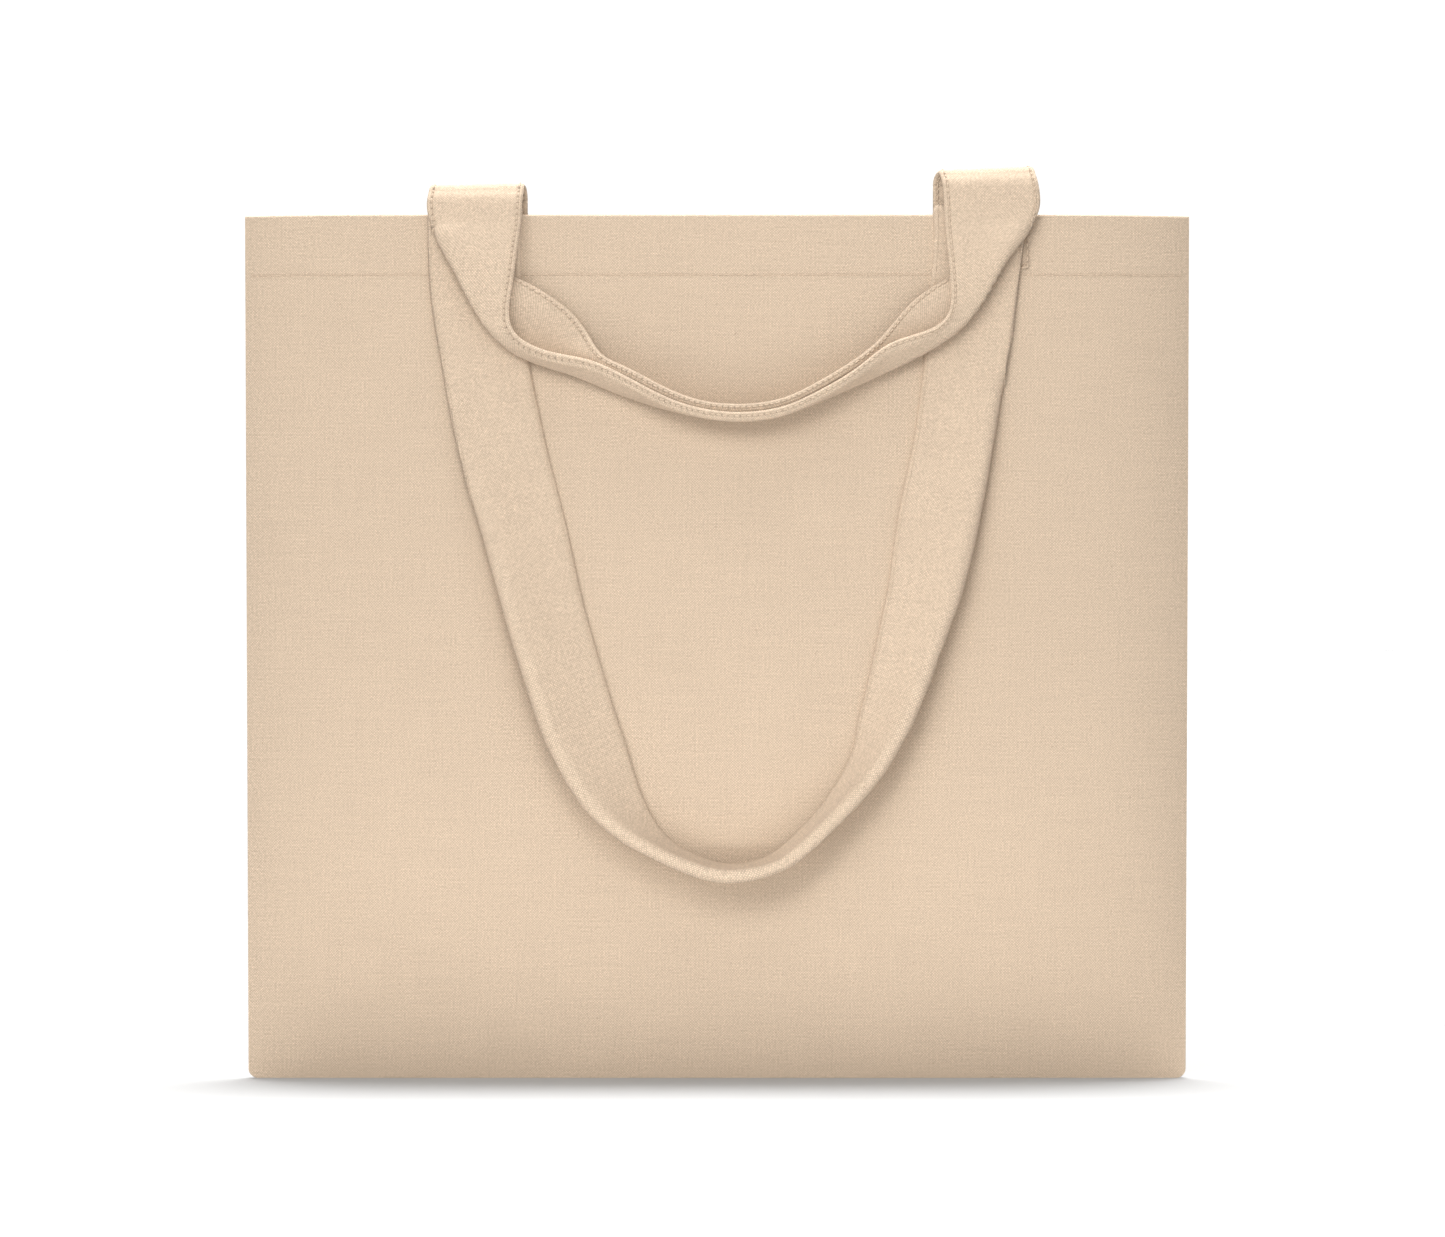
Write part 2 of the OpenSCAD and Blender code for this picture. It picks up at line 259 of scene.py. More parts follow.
CANVAS = canvas_material("canvas", (0.64, 0.505, 0.375, 1), (0.55, 0.43, 0.32, 1))
STRAP_LIGHT, STRAP_DEEP = (0.65, 0.512, 0.38, 1), (0.56, 0.438, 0.326, 1)
# the last argument sets how dark each strap's painted shade between its stitches is
STRAP = canvas_material("strap", STRAP_LIGHT, STRAP_DEEP, seed=7.0, gap_shade=0.15)
LOOP = canvas_material("loop", STRAP_LIGHT, STRAP_DEEP, seed=3.0, gap_shade=0.5)
THREAD = thread_material("thread", (0.70, 0.56, 0.42, 1), (0.48, 0.37, 0.27, 1))


# ---------------------------------------------------------------- mesh helpers
def piece(name, verts, faces, material, uvs=None):
    """A smooth-shaded mesh object; uvs has one pair per vertex, in millimetres."""
    mesh = bpy.data.meshes.new(name)
    mesh.from_pydata([tuple(p) for p in verts], [], [tuple(int(k) for k in f) for f in faces])
    mesh.polygons.foreach_set("use_smooth", [True] * len(mesh.polygons))
    if uvs is not None:
        layer = mesh.uv_layers.new(name="cloth")
        index = np.zeros(len(mesh.loops), int)
        mesh.loops.foreach_get("vertex_index", index)
        layer.data.foreach_set("uv", np.asarray(uvs, float)[index].ravel())
    mesh.materials.append(material)
    mesh.update()
    obj = bpy.data.objects.new(name, mesh)
    bpy.context.collection.objects.link(obj)
    return obj


def normals_of(grid):
    """Unit normals of a grid of points, from its two directions."""
    along = np.gradient(grid, axis=0)
    across = np.gradient(grid, axis=1)
    normal = np.cross(along, across)
    return normal / np.maximum(np.linalg.norm(normal, axis=2, keepdims=True), 1e-12)


def closed(name, top, low, material, uv, sharp=False):
    """A closed piece of cloth between two faces, which are grids of the same size. A sharp one
    has hard rims, so that its shading runs on into the piece that it meets."""
    rows, cols = top.shape[:2]
    verts = np.concatenate([top.reshape(-1, 3), low.reshape(-1, 3)])
    size = rows * cols
    index = np.arange(size).reshape(rows, cols)
    quad = np.stack([index[:-1, :-1], index[1:, :-1], index[1:, 1:], index[:-1, 1:]], -1)
    front = quad.reshape(-1, 4)
    rear = front[:, ::-1] + size
    rim = np.concatenate([index[0, :], index[1:, -1], index[-1, -2::-1], index[-2:0:-1, 0]])
    turn = np.roll(rim, -1)
    side = np.stack([rim, turn, turn + size, rim + size], -1)
    uvs = np.concatenate([uv.reshape(-1, 2)] * 2)
    obj = piece(name, verts, np.concatenate([front, rear, side]), material, uvs)
    if sharp:
        keys = {tuple(sorted(pair)) for ring in (0, size) for pair in zip(rim + ring, turn + ring)}
        for edge in obj.data.edges:
            edge.use_edge_sharp = tuple(sorted(edge.vertices)) in keys
    return obj


def shell(name, grid, half, material, uv):
    """A closed piece of cloth that stands half its thickness, in millimetres, off each side of
    a middle surface."""
    offset = normals_of(grid) * half[..., None] * MM
    return closed(name, grid + offset, grid - offset, material, uv)


def spline(points, count):
    """A smooth curve through the points, as count points at equal steps of its parameter."""
    p = np.asarray(points, float)
    p = np.concatenate([[2 * p[0] - p[1]], p, [2 * p[-1] - p[-2]]])
    t = np.linspace(0, len(points) - 1, count)
    k = np.minimum(t.astype(int), len(points) - 2)
    f = (t - k)[:, None]
    a, b, c, e = p[k], p[k + 1], p[k + 2], p[k + 3]
    return 0.5 * (2 * b + (c - a) * f + (2 * a - 5 * b + 4 * c - e) * f ** 2
                  + (3 * b - a - 3 * c + e) * f ** 3)


SIDES = 6                       # of a stitch
STITCH_SHARE = 0.825            # of its pitch that a stitch covers


def stitch(verts, faces, start, end, normal, radius=THREAD_R, lift=0.12):
    """Adds one stitch, whose two ends dive into the cloth: four rings, each at a share of its
    length, with a height and a size in radii."""
    axis = end - start
    length = np.linalg.norm(axis)
    if length < 1e-9:
        return
    axis = axis / length
    side = np.cross(axis, normal)
    side = side / max(np.linalg.norm(side), 1e-12)
    up = np.cross(side, axis)
    base = len(verts)
    for share, sink, size in ((0.0, -0.7, 0.7), (0.2, 0.6, 1.0), (0.8, 0.6, 1.0), (1.0, -0.7, 0.7)):
        centre = start + axis * length * share + up * (lift + radius * sink) * MM
        for k in range(SIDES):
            turn = 2 * math.pi / SIDES * k
            verts.append(centre + (math.cos(turn) * side * 1.15 + math.sin(turn) * up * 0.8)
                         * radius * size * MM)
    for ring in range(3):
        for k in range(SIDES):
            a = base + ring * SIDES + k
            b = base + ring * SIDES + (k + 1) % SIDES
            faces.append((a, b, b + SIDES, a + SIDES))


def stitches(name, runs, radius=THREAD_R):
    """A piece made of rows of stitches; each run is (points, normals). None is made where the
    cloth is gathered or stretched at its row."""
    verts, faces = [], []
    for points, normals in runs:
        for k in range(0, len(points) - 1, 2):
            way = points[k + 1] - points[k]
            if 0.6 < np.linalg.norm(way) / (STEP * MM) < 1.6:
                stitch(verts, faces, points[k], points[k] + way * 2 * STITCH_SHARE, normals[k], radius)
    return piece(name, verts, faces, THREAD)


# ---------------------------------------------------------------- panels
def half_at(z):
    """Half the bag's width at a height, with its rounded bottom corners."""
    corner = np.where(z < CORNER, CORNER - np.sqrt(np.maximum(CORNER ** 2 - (CORNER - z) ** 2, 0)), 0)
    return HALF_W - TAPER * (1 - z / HEIGHT) - corner


def ripple(x, z, size, seed):
    """Gentle unevenness of cloth, from -1 to 1."""
    flat_x, flat_z = np.broadcast_arrays(x, z)
    pairs = zip(flat_x.ravel(), flat_z.ravel())
    value = [noise.noise(Vector((a / size, b / size, seed))) for a, b in pairs]
    return np.array(value).reshape(flat_x.shape)


def swell(share, z):
    """How far the front panel's inner face stands off, from its share of the half width."""
    rise = 1 - (1 - np.minimum(z / BOW_RISE, 1)) ** 4
    return BOW * (1 - np.abs(share) ** 8) * rise


def front_depth(share, z):
    """Depth of the front panel's outer face, with soft waves, a puckered groove along the row
    of stitches and a slight step up to the hem."""
    x = share * half_at(z)
    free = 1 - np.abs(share) ** 6
    depth = 2 * CLOTH + GAP + swell(share, z)
    depth = depth + free * (0.55 * ripple(x, z, 70, 1.5) + 0.22 * ripple(x, z, 24, 4.5))
    pucker = 0.10 * np.cos(2 * math.pi * x / 7.5) * np.exp(-((z - HEM_ROW) / 5.0) ** 2)
    groove = -0.12 * np.exp(-((z - HEM_ROW) / 0.9) ** 2)
    hem = 0.15 / (1 + np.exp(-(z - HEM_ROW - 1.0) / 1.5))
    return depth + free * (pucker + hem) + groove


def panel_rows():
    """Heights of a panel's rows of vertices: closer round the corners, the stitches and the top."""
    low = CORNER * (1 - np.cos(np.linspace(0, math.pi / 2, 7)))
    middle = np.arange(CORNER + 2, HEM_Z - 5, ROW_STEP)
    band = HEM_ROW + 0.4 * np.arange(-10, 11)
    high = np.arange(HEM_Z + 5, HEIGHT - TOP_ROUND - 0.2, ROW_STEP)
    edge = HEIGHT - TOP_ROUND + TOP_ROUND * np.sin(np.linspace(0, math.pi / 2, 5))
    return np.unique(np.concatenate([low, middle, band, high, edge]))


def edge_round(z):
    """Share of the thickness left near the top fold."""
    near = np.clip((z - (HEIGHT - TOP_ROUND)) / TOP_ROUND, 0, 1)
    return np.sqrt(1 - near ** 2)


def front_panel(name, low, high):
    """The front panel between two shares of its half width."""
    zs = panel_rows()
    shares = np.sin(np.linspace(math.asin(low), math.asin(high), 92))
    z, share = np.meshgrid(zs, shares, indexing="ij")
    depth = front_depth(share, z)
    x = share * half_at(z)
    hemmed = np.where(z > HEM_Z, CLOTH, 0) * np.clip(swell(share, z) / CLOTH, 0, 1)
    total = CLOTH + hemmed
    thin = total / 2 * (1 - edge_round(z))
    outer = place(x, depth - thin, z)
    inner = place(x, depth - total + thin, z)
    return closed(name, outer, inner, CANVAS, np.stack([x, z], -1), sharp=True)


BACK_V = 500                    # where the back panel's cloth map starts
SEAM_V = 900                    # and the seam allowances'


def back_depth(x, z):
    """Depth of the back panel's outer face, which lies flat."""
    free = 1 - np.abs(x / HALF_W) ** 6
    wave = 0.12 + 0.12 * ripple(x, z, 60, 9.5)
    return free * wave + 0.22 * np.exp(-((z - HEM_ROW) / 1.1) ** 2)


def back_panel():
    """The back panel, whose hem is turned to the inside."""
    zs = panel_rows()
    shares = np.sin(np.linspace(-math.pi / 2, math.pi / 2, 170))
    z, share = np.meshgrid(zs, shares, indexing="ij")
    x = share * half_at(z)
    total = CLOTH + np.where(z > HEM_Z, CLOTH, 0)
    depth = back_depth(x, z)
    thin = (total - depth) / 2 * (1 - edge_round(z))
    inner = place(x, total - thin, z)
    outer = place(x, depth + thin, z)
    return closed("back_panel_cloth", inner, outer, CANVAS, np.stack([x, z + BACK_V], -1))


# ---------------------------------------------------------------- seams inside the bag
SEAM_X = HALF_W - 6             # the sewn side of a side allowance
SEAM_LOW = 26.0                 # and its lower end
BOTTOM_END = 178.0              # the ends of the bottom allowance
BOTTOM_Z = 8                    # and the height of its sewn side
ALLOWANCE = 8.0                 # width of a seam allowance
SEAM_T = 1.6
OVERLOCK_R = 0.2


def seam_strip(name, start, end, inner):
    """A seam allowance that lies against the back panel: a strip from start to end, in x and z,
    whose raw edge is on the side that inner points to. Also returns its grid, for the overlock."""
    start, end, inner = (np.array(p, float) for p in (start, end, inner))
    length = np.linalg.norm(end - start)
    rows = int(length / 2.5) + 1
    along = np.linspace(0, 1, rows)[:, None]
    across = np.linspace(0, 1, 7)[None, :]
    x = start[0] + (end[0] - start[0]) * along + inner[0] * ALLOWANCE * across
    z = start[1] + (end[1] - start[1]) * along + inner[1] * ALLOWANCE * across
    wave = 0.25 * ripple(x, z, 11, 3.5) * across
    depth = CLOTH + SEAM_T / 2 + 0.15 + wave
    half = SEAM_T / 2 * np.sqrt(1 - (2 * np.broadcast_to(across, x.shape) - 1) ** 4 * 0.6)
    grid = place(x, depth, z)
    strip = shell(name, grid, half, CANVAS, np.stack([x, z + SEAM_V], -1))
    return strip, grid


def overlock(name, grid):
    """Overlock thread: slanted stitches on the face and loops round the raw edge."""
    verts, faces = [], []
    toward = np.array([0.0, -1.0, 0.0])
    face = toward * SEAM_T / 2 * MM
    for k in range(0, grid.shape[0] - 1):
        edge = grid[k, -1]
        inner = grid[k, 3] + (grid[k + 1, 3] - grid[k, 3]) * 0.5
        after = grid[k + 1, -1]
        stitch(verts, faces, edge + face, inner + face, toward, OVERLOCK_R, 0.15)
        stitch(verts, faces, inner + face, after + face, toward, OVERLOCK_R, 0.15)
        out = grid[k, -1] - grid[k, -2]
        out = out / np.linalg.norm(out)
        stitch(verts, faces, edge + face, edge - face * 0.7, out, OVERLOCK_R, 0.35)
    return piece(name, verts, faces, THREAD)


# ---------------------------------------------------------------- straps
def across_places():
    """Places across a strap, closer together at its edges and its sewn rows."""
    half = STRAP_W / 2
    edge = [0, 0.12, 0.4, 0.8, 1.15, 1.55, SEW_ROW, 2.6, 3.5, 4.4, 5.6]
    side = [-half + e for e in edge]
    middle = list(np.linspace(-half + 7.5, half - 7.5, 13))
    return np.array(side + middle + [-s for s in reversed(side)])


ACROSS = across_places()
LIP_R = 3.0                     # radius of the corner between an edge and the fold


def bent(corners, soft):
    """The line across a strap through its corners: an edge, a corner near it, the fold, which
    is soft millimetres wide, a corner near the other edge, and that edge."""
    a, near_a, fold, near_b, b = corners
    to_a = (near_a - fold) / np.linalg.norm(near_a - fold)
    to_b = (near_b - fold) / np.linalg.norm(near_b - fold)
    wide = (to_a - to_b) / max(np.linalg.norm(to_a - to_b), 1e-6) * soft
    corners = [a, near_a, fold + wide, fold - wide, near_b, b]
    rounding = [0, LIP_R, soft, soft, LIP_R, 0]
    line = [a[None, :]]
    t = np.linspace(0, 1, 7)[:, None]
    for k in range(1, 5):
        before, here, after = corners[k - 1], corners[k], corners[k + 1]
        la, lb = np.linalg.norm(before - here), np.linalg.norm(after - here)
        r = min(rounding[k], la * 0.48, lb * 0.48)
        pa, pb = here + (before - here) / la * r, here + (after - here) / lb * r
        line.append((1 - t) ** 2 * pa + 2 * t * (1 - t) * here + t ** 2 * pb)
    line = np.concatenate(line + [b[None, :]])
    length = np.concatenate([[0], np.cumsum(np.linalg.norm(np.diff(line, axis=0), axis=1))])
    at = (ACROSS / STRAP_W + 0.5) * length[-1]
    return np.stack([np.interp(at, length, line[:, k]) for k in range(3)], -1)


def station(a, f, b, soft=1.8, lip_a=None, lip_b=None):
    """A place along a strap: its outer edge a, its fold f and its inner edge b, as (x, d, z).
    A lip is the way from an edge to where the cloth bends towards the fold, forwards and up."""
    a, f, b = (np.array(p, float) for p in (a, f, b))
    near_a = f + (a - f) * 0.6 if lip_a is None else a + np.array([0, *lip_a])
    near_b = f + (b - f) * 0.6 if lip_b is None else b + np.array([0, *lip_b])
    return np.concatenate([a, near_a, f, near_b, b, [soft]])


def flat_station(x, d, z, turn=0.0, fold=0.0):
    """A flat place, with its two edges at the same depth; fold is where it starts to fold."""
    half = STRAP_W / 2
    return station((x - half, d, z - turn), (x + fold, d, z + turn * fold / half), (x + half, d, z + turn))


def flipped(stations):
    """Stations with their two edges changed over."""
    return [np.concatenate([s[12:15], s[9:12], s[6:9], s[3:6], s[0:3], s[15:]]) for s in stations]


SMOOTH = 5.0                    # how far along a strap its loose part is smoothed


def strap_grid(stations):
    """The middle surface of a strap through its stations, at even steps along it. The part that
    hangs in front of the panel is smoothed along its length."""
    fine = spline(stations, len(stations) * 24)
    middle = (fine[:, 0:3] + fine[:, 6:9] + fine[:, 12:15]) / 3
    length = np.concatenate([[0], np.cumsum(np.linalg.norm(np.diff(middle, axis=0), axis=1))])
    count = int(round(length[-1] / STEP)) + 1
    at = np.linspace(0, length[-1], count)
    rows = np.stack([np.interp(at, length, fine[:, k]) for k in range(fine.shape[1])], -1)
    reach = int(3 * SMOOTH / STEP)
    weight = np.exp(-0.5 * (np.arange(-reach, reach + 1) * STEP / SMOOTH) ** 2)
    fold_d = rows[:, 7]
    loose = np.clip((fold_d - EDGE_D - 1.5) / 2.0, 0, 1)[:, None]
    padded = np.pad(rows, ((reach, reach), (0, 0)), mode="edge")
    blurred = np.stack([np.convolve(padded[:, k], weight / weight.sum(), "valid")
                        for k in range(rows.shape[1])], -1)
    rows = rows + (blurred - rows) * loose
    grid = np.array([bent(row[:15].reshape(5, 3), row[15]) for row in rows])
    return place(grid[..., 0], grid[..., 1], grid[..., 2]), at


def strap(name, grid, at, material, groove=0.45, pressed=False):
    """A strap of folded canvas with rounded edges and a sewn row, as deep as groove, along each.
    A pressed one is flat underneath, with edges that come down to the cloth below."""
    half = STRAP_W / 2
    into = half - np.abs(ACROSS)
    edge = np.clip(1 - into / (0.9 * STRAP_T), 0, 1)
    body = np.maximum(np.sqrt(1 - edge ** 1.5), 0.02)
    row = np.exp(-((into - SEW_ROW) / 0.55) ** 2)
    pull = 0.7 - 0.3 * np.cos(math.pi * np.arange(len(at)))
    lip = 0.5 * groove * np.exp(-((into - 1.1) / 0.6) ** 2)
    thick = STRAP_T / 2 * body[None, :] + lip[None, :] - groove * row[None, :] * pull[:, None]
    uv = np.stack(np.broadcast_arrays(ACROSS[None, :], at[:, None] + STRAP_V), -1)
    if not pressed:
        return shell(name, grid, thick, material, uv)
    normal = normals_of(grid) * MM
    under = STRAP_T / 2 - 0.05
    top = grid + normal * (thick + under * (body - 1))[..., None]
    return closed(name, top, grid - normal * under, material, uv)


def edge_rows(grid, groove=0.45, start=0, end=None):
    """Stitch runs along both edges of a strap, on both of its faces."""
    normal = normals_of(grid)
    runs = []
    for inset in (SEW_ROW, STRAP_W - SEW_ROW):
        column = int(np.argmin(np.abs(ACROSS + STRAP_W / 2 - inset)))
        for side in (1, -1):
            lift = (STRAP_T / 2 - 0.5 * groove) * MM
            points = grid[start:end, column] + normal[start:end, column] * lift * side
            runs.append((points, normal[start:end, column] * side))
    return runs


def fold_stations(x, z, radius, angles, lean=0.0, shift=0.0, fold=0.0):
    """Places round a fold over the front edge; 180 is behind it and 0 in front. lean tips the
    strap at the top of the fold, and shift and fold grow from nothing behind to all in front."""
    places = []
    for a in angles:
        c, s = math.cos(math.radians(a)), math.sin(math.radians(a))
        ahead = (1 + c) / 2
        places.append(flat_station(x + shift * ahead, EDGE_D + radius * c, z + radius * s,
                                   lean * s, fold * ahead))
    return places


LEG_D = 17.4                    # depth of the long loop's inner edge, on the panel
TURN_UNDER = 4.5                # the width left at which the outer edge turns under


def leg(outer, inner, ridge):
    """A place on the long loop: outer and inner are its outlines as (x, z), and ridge is the
    depth of the cloth at the outer one. Where much of the width is left, it turns under."""
    outer, inner = np.array(outer, float), np.array(inner, float)
    across = (inner - outer) / np.linalg.norm(inner - outer)
    near, far = outer + across * 0.3, inner - across * 0.9
    span = math.hypot(np.linalg.norm(far - near), ridge - LEG_D)
    left = STRAP_W - span
    if left > TURN_UNDER:
        fold = near + across * 1.2
        drop = min(left * 0.95, ridge - LEG_D)
        reach = min(math.sqrt(left ** 2 - drop ** 2), 0.5 * np.linalg.norm(far - fold))
        edge = fold + across * reach
    else:
        fold = near + across * 2.8
        drop = 0.5
        edge = near
    return station((edge[0], ridge - drop, edge[1]), (fold[0], ridge, fold[1]),
                   (far[0], LEG_D, far[1]), soft=2.2)


# The long loop of the front handle, from the left fold down and up to the right one: places
# along its outer and inner outlines
LONG_LOOP = [
    leg((-122.3, 354), (-81.7, 354), 17.7),
    leg((-121, 330), (-81.3, 332), 17.9),
    leg((-117, 305), (-79, 307), 18.6),
    leg((-108.5, 262), (-71, 268), 20.8),
    leg((-98, 228), (-62.4, 234), 23),
    leg((-89, 195), (-55.5, 202), 25.5),
    leg((-79.5, 165), (-47.5, 174), 28),
    leg((-73.5, 147), (-42.5, 157), 29.5),
    leg((-65, 129), (-37.2, 141.5), 31),
    leg((-54.5, 113.5), (-33, 127), 32.5),
    leg((-42.5, 103), (-28, 114), 33.8),
    leg((-29, 95.5), (-21, 103), 35),
    leg((-13.5, 88.6), (-9, 95.5), 36),
    leg((4, 84.2), (5, 91.4), 36.5),
    leg((28, 89.5), (20, 94), 35.7),
    leg((40.5, 99), (32.5, 104), 34.8),
    leg((50.6, 108.4), (44, 117), 33.9),
    leg((61.3, 119), (52, 129.5), 32.7),
    leg((70.9, 131), (56.8, 140), 31.5),
    leg((78.2, 142.5), (58.2, 151), 30.3),
    leg((84.5, 155), (61, 162), 29),
    leg((90.5, 170.5), (64, 175), 27.5),
    leg((98, 191), (68, 194), 26),
    leg((103.5, 206), (71.2, 209), 24.7),
    leg((110, 234), (75.2, 238), 23),
    leg((117.3, 271), (82.5, 274), 20.8),
    leg((123.3, 305), (86.3, 306), 18.6),
    leg((126.8, 330), (88.4, 331), 17.9),
    leg((129.8, 354), (90.4, 354), 17.7),
]

# The short loop of the back handle, from the left fold to the right one: each place has its
# outer edge, which is turned behind, its fold and its inner edge, which is nearest, and where
# it matters its softness and its two lips
FAR_LIP = (0.3, -3.2)
NEAR_LIP = (-0.6, -3.2)
SHORT_LOOP = [
    station((-122.5, 20.6, 362), (-118, 20.9, 361.7), (-82.3, 21.0, 362)),
    station((-114, 19.8, 355), (-118.4, 22.4, 355.5), (-83.3, 22.7, 355.5)),
    station((-104, 19.9, 347), (-113.9, 23.7, 348.5), (-84.2, 24.0, 349)),
    station((-93, 20.0, 341.5), (-109.1, 24.3, 339.5), (-85.2, 25.6, 339)),
    station((-83.5, 20.1, 338), (-104.5, 24.2, 330), (-86.8, 27.2, 330)),
    station((-75, 20.2, 333.5), (-99.2, 23.6, 321), (-87.8, 28.2, 321.5)),
    station((-66, 19.6, 327.8), (-93.3, 22.0, 313.6), (-85.6, 29.6, 314.2), 1.8, None, (-0.5, -2.5)),
    station((-58, 20.2, 320.4), (-84.3, 20.9, 306.8), (-76.5, 30.6, 308.6), 1.8, None, NEAR_LIP),
    station((-52.8, 22.5, 312), (-74, 19.9, 302.6), (-65.5, 31.0, 305.4), 1.8, None, NEAR_LIP),
    station((-48.5, 28.0, 305.0), (-62, 19.6, 298.8), (-53.5, 31.0, 303.6), 1.8, FAR_LIP, NEAR_LIP),
    station((-36, 29.0, 299.4), (-46, 18.9, 292.8), (-38.5, 31.6, 296.6), 1.8, FAR_LIP, NEAR_LIP),
    station((-20, 29.0, 290.8), (-28, 18.7, 286.8), (-21.5, 31.8, 287.6), 1.8, FAR_LIP, NEAR_LIP),
    station((-5, 29.0, 285.8), (-8, 18.6, 282.2), (-5.5, 31.8, 282.6), 1.8, FAR_LIP, NEAR_LIP),
    station((12, 29.0, 284.7), (11, 18.6, 281.0), (12, 31.8, 281.2), 1.8, FAR_LIP, NEAR_LIP),
    station((28, 29.0, 287.2), (29, 18.6, 283.2), (28.5, 31.8, 283.8), 1.8, FAR_LIP, NEAR_LIP),
    station((43, 29.0, 294.4), (47, 18.8, 290.2), (44.5, 31.6, 291.2), 1.8, FAR_LIP, NEAR_LIP),
    station((57.5, 28.0, 303.2), (63, 19.4, 296.6), (59.5, 31.2, 300.2), 1.8, FAR_LIP, NEAR_LIP),
    station((67.5, 25.0, 311), (75, 20.4, 301.2), (70.5, 31.0, 309.6), 1.8, None, NEAR_LIP),
    station((72.5, 22.0, 317), (85, 21.8, 306), (80, 30.6, 313.0), 1.8, None, NEAR_LIP),
    station((77.5, 20.8, 323), (95, 22.8, 311.8), (89, 29.6, 315.6), 1.8, None, (-0.5, -2.5)),
    station((84, 20.4, 330), (104.4, 23.4, 319), (95.6, 28.4, 319.6)),
    station((92, 20.2, 335), (111.8, 24.2, 328.8), (98.4, 27.2, 325)),
    station((102.5, 20.0, 341), (118, 24.3, 340.2), (98.3, 25.7, 335)),
    station((116, 19.9, 347.5), (124, 23.7, 349.6), (97.3, 24.0, 347)),
    station((128, 19.8, 355.5), (129.8, 22.4, 357), (96.3, 22.7, 356)),
    station((136.4, 20.6, 365), (132, 20.9, 364.6), (95.8, 21.0, 364)),
]

# Where the handles fold over the front edge: the front one first, and the back one on top of it
FOLD1_Z = HEIGHT + 0.6
FOLD1_R = 2.6
FOLD2_R = 5.5
FOLD2_R_RIGHT = FOLD2_R + 0.3
LEFT_FOLD_Z = HEIGHT + 6.2
RIGHT_FOLD_Z = HEIGHT + 12.6
LEFT_SKEW = 2.0                 # how far the back handle lies to the right of the front one
RIGHT_SKEW = -1.8
OVER_EDGE = list(range(180, 0, -20))            # angles of the places round a fold
TAB_D = FRONT_HEM_IN - 0.9 - STRAP_T / 2        # depth of the front handle's sewn ends
TUCK_LOW = HEIGHT - 70          # where a tuck's bottom starts to curve
TUCK_UP_D = 9.9                 # depth of a tuck's rising part


def front_handle():
    """Sewn inside the hem at both ends, over the edge, and down in the long loop."""
    tab = [HEIGHT - HEM, HEIGHT - 12, HEIGHT - 3]
    left = [flat_station(LEFT_X, TAB_D, z) for z in tab]
    left += fold_stations(LEFT_X, FOLD1_Z, FOLD1_R, OVER_EDGE, fold=-18)
    right = fold_stations(RIGHT_X, FOLD1_Z, FOLD1_R, OVER_EDGE[::-1], shift=-2.3, fold=18)
    right += [flat_station(RIGHT_X, TAB_D, z) for z in reversed(tab)]
    grid, at = strap_grid(left + LONG_LOOP + flipped(right))
    return strap("front_handle_strap", grid, at, STRAP, 0.15, pressed=True), grid


def back_loop():
    """Over the front edge on both sides, and down in the short loop."""
    left = fold_stations(LEFT_X + LEFT_SKEW, LEFT_FOLD_Z, FOLD2_R, OVER_EDGE,
                         lean=0.4, shift=-2, fold=-15)
    right = fold_stations(RIGHT_X + RIGHT_SKEW, RIGHT_FOLD_Z, FOLD2_R_RIGHT, OVER_EDGE[::-1],
                          lean=0.8, shift=4, fold=15)
    grid, at = strap_grid(left + SHORT_LOOP + flipped(right))
    return strap("back_handle_strap", grid, at, LOOP), grid


def half_turn(d, z, radius, side):
    """Points of a half circle that starts at d and z and goes forwards, over (+1) or under (-1)."""
    return [(d + radius - radius * math.cos(a), z + side * radius * math.sin(a))
            for a in np.linspace(0, math.pi, 7)[1:]]


def riser(name, x, top, radius):
    """From the back hem down into the mouth, round, and up behind the front panel."""
    back_d = 2 * CLOTH + STRAP_T / 2
    top_z = HEIGHT - 1.2
    turn_r = 0.35 + STRAP_T / 2
    down_d = back_d + 2 * turn_r
    up_d = EDGE_D - radius
    path = [(back_d, HEIGHT - HEM), (back_d, HEIGHT - 12), (back_d, top_z)]
    path += half_turn(back_d, top_z, turn_r, 1)
    path += [(down_d, HEIGHT - 30), (down_d - 0.2, TUCK_LOW)]
    path += half_turn(down_d, TUCK_LOW, (TUCK_UP_D - down_d) / 2, -1)
    path += [(TUCK_UP_D, HEIGHT - 30), (TUCK_UP_D, HEIGHT - 6)]
    path += [((TUCK_UP_D + up_d) / 2, HEIGHT - 1), (up_d, top)]
    grid, at = strap_grid([flat_station(x, d, z) for d, z in path])
    return strap(name, grid, at, STRAP), grid


# ---------------------------------------------------------------- tacks
def tack(x, d, z, toward):
    """Stitch runs of a box and a cross, on a flat face at depth d that faces toward (+1: front)."""
    wide, high = STRAP_W / 2 - SEW_ROW, (HEM - 5) / 2
    corners = [(-wide, -high), (wide, -high), (wide, high), (-wide, high)]
    lines = [(corners[k], corners[(k + 1) % 4]) for k in range(4)]
    lines += [(corners[0], corners[2]), (corners[1], corners[3])]
    runs = []
    for (x0, z0), (x1, z1) in lines:
        count = max(int(math.hypot(x1 - x0, z1 - z0) / STEP), 2)
        t = np.linspace(0, 1, count)
        points = place(x + x0 + (x1 - x0) * t, d + np.zeros(count), z + z0 + (z1 - z0) * t)
        runs.append((points, np.tile([0.0, -float(toward), 0.0], (count, 1))))
    return runs


# ---------------------------------------------------------------- pieces on their bodies
# Each half of the front panel: its name, its side, and an x just outside the front handle's end on that
# side
HALVES = (("left", -1, LEFT_X - 25), ("right", 1, RIGHT_X + 23))
TUCK_REAR, TUCK_FORE = 7.0, 9.2                 # it has no stitches between these depths


